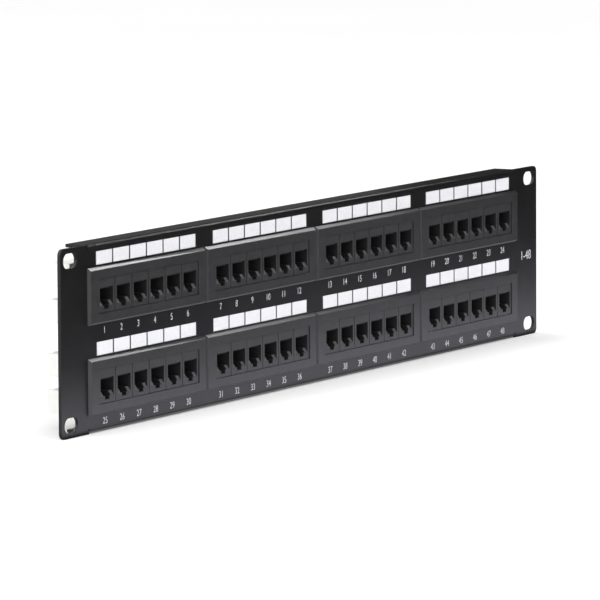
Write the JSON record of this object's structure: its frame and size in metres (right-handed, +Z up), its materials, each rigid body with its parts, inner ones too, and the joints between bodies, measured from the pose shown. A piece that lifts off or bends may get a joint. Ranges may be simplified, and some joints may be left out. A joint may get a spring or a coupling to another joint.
{
  "type": "patch panel",
  "caption": "Two-unit 19-inch rack patch panel with six-socket modules, spring contacts, label strips, and circuit boards with punch-down blocks behind.",
  "frame": {"origin": "centre of the four rack slots, on the rear face of the ears, where the panel meets the rack rails", "axes": "+X along the panel to the right as seen from the front, +Y backwards into the rack, +Z up"},
  "size_m": [0.4826, 0.0296, 0.0882],
  "materials": {
    "panel_coat": "semi-gloss powder coat",
    "label": "matt white label",
    "screw_steel": "zinc plated",
    "bezel_plastic": "fine satin texture",
    "jack_plastic": "satin",
    "contact_gold": "gold plated",
    "board": "solder mask",
    "block_plastic": "satin",
    "clip_metal": "tin plated"
  },
  "bodies": {
    "panel": {"front_panel": "panel_coat", "port_labels": "label", "board_screws": "screw_steel", "bezel_1": "bezel_plastic", "bezel_2": "bezel_plastic", "bezel_3": "bezel_plastic", "bezel_4": "bezel_plastic", "bezel_5": "bezel_plastic", "bezel_6": "bezel_plastic", "bezel_7": "bezel_plastic", "bezel_8": "bezel_plastic", "jacks_1": "jack_plastic", "jacks_2": "jack_plastic", "jacks_3": "jack_plastic", "jacks_4": "jack_plastic", "jacks_5": "jack_plastic", "jacks_6": "jack_plastic", "jacks_7": "jack_plastic", "jacks_8": "jack_plastic", "circuit_board_1": "board", "circuit_board_2": "board", "circuit_board_3": "board", "circuit_board_4": "board", "circuit_board_5": "board", "circuit_board_6": "board", "circuit_board_7": "board", "circuit_board_8": "board", "punchdown_blocks_1": "block_plastic", "punchdown_blocks_2": "block_plastic", "punchdown_blocks_3": "block_plastic", "punchdown_blocks_4": "block_plastic", "punchdown_blocks_5": "block_plastic", "punchdown_blocks_6": "block_plastic", "punchdown_blocks_7": "block_plastic", "punchdown_blocks_8": "block_plastic", "punchdown_clips_1": "clip_metal", "punchdown_clips_2": "clip_metal", "punchdown_clips_3": "clip_metal", "punchdown_clips_4": "clip_metal", "punchdown_clips_5": "clip_metal", "punchdown_clips_6": "clip_metal", "punchdown_clips_7": "clip_metal", "punchdown_clips_8": "clip_metal"},
    "spring_set_1": {"contact_springs_1": "contact_gold"},
    "spring_set_2": {"contact_springs_2": "contact_gold"},
    "spring_set_3": {"contact_springs_3": "contact_gold"},
    "spring_set_4": {"contact_springs_4": "contact_gold"},
    "spring_set_5": {"contact_springs_5": "contact_gold"},
    "spring_set_6": {"contact_springs_6": "contact_gold"},
    "spring_set_7": {"contact_springs_7": "contact_gold"},
    "spring_set_8": {"contact_springs_8": "contact_gold"}
  },
  "joints": [
    {"name": "spring_flex_1", "type": "hinge", "parent": "panel", "child": "spring_set_1", "pos_m": [-0.16335, -0.0008, 0.0229], "axis": [1, 0, 0], "range_deg": [0, 7], "stiffness_Nm_per_rad": 0.2},
    {"name": "spring_flex_2", "type": "hinge", "parent": "panel", "child": "spring_set_2", "pos_m": [-0.05445, -0.0008, 0.0229], "axis": [1, 0, 0], "range_deg": [0, 7], "stiffness_Nm_per_rad": 0.2},
    {"name": "spring_flex_3", "type": "hinge", "parent": "panel", "child": "spring_set_3", "pos_m": [0.05445, -0.0008, 0.0229], "axis": [1, 0, 0], "range_deg": [0, 7], "stiffness_Nm_per_rad": 0.2},
    {"name": "spring_flex_4", "type": "hinge", "parent": "panel", "child": "spring_set_4", "pos_m": [0.16335, -0.0008, 0.0229], "axis": [1, 0, 0], "range_deg": [0, 7], "stiffness_Nm_per_rad": 0.2},
    {"name": "spring_flex_5", "type": "hinge", "parent": "panel", "child": "spring_set_5", "pos_m": [-0.16335, -0.0008, -0.0194], "axis": [1, 0, 0], "range_deg": [0, 7], "stiffness_Nm_per_rad": 0.2},
    {"name": "spring_flex_6", "type": "hinge", "parent": "panel", "child": "spring_set_6", "pos_m": [-0.05445, -0.0008, -0.0194], "axis": [1, 0, 0], "range_deg": [0, 7], "stiffness_Nm_per_rad": 0.2},
    {"name": "spring_flex_7", "type": "hinge", "parent": "panel", "child": "spring_set_7", "pos_m": [0.05445, -0.0008, -0.0194], "axis": [1, 0, 0], "range_deg": [0, 7], "stiffness_Nm_per_rad": 0.2},
    {"name": "spring_flex_8", "type": "hinge", "parent": "panel", "child": "spring_set_8", "pos_m": [0.16335, -0.0008, -0.0194], "axis": [1, 0, 0], "range_deg": [0, 7], "stiffness_Nm_per_rad": 0.2}
  ]
}
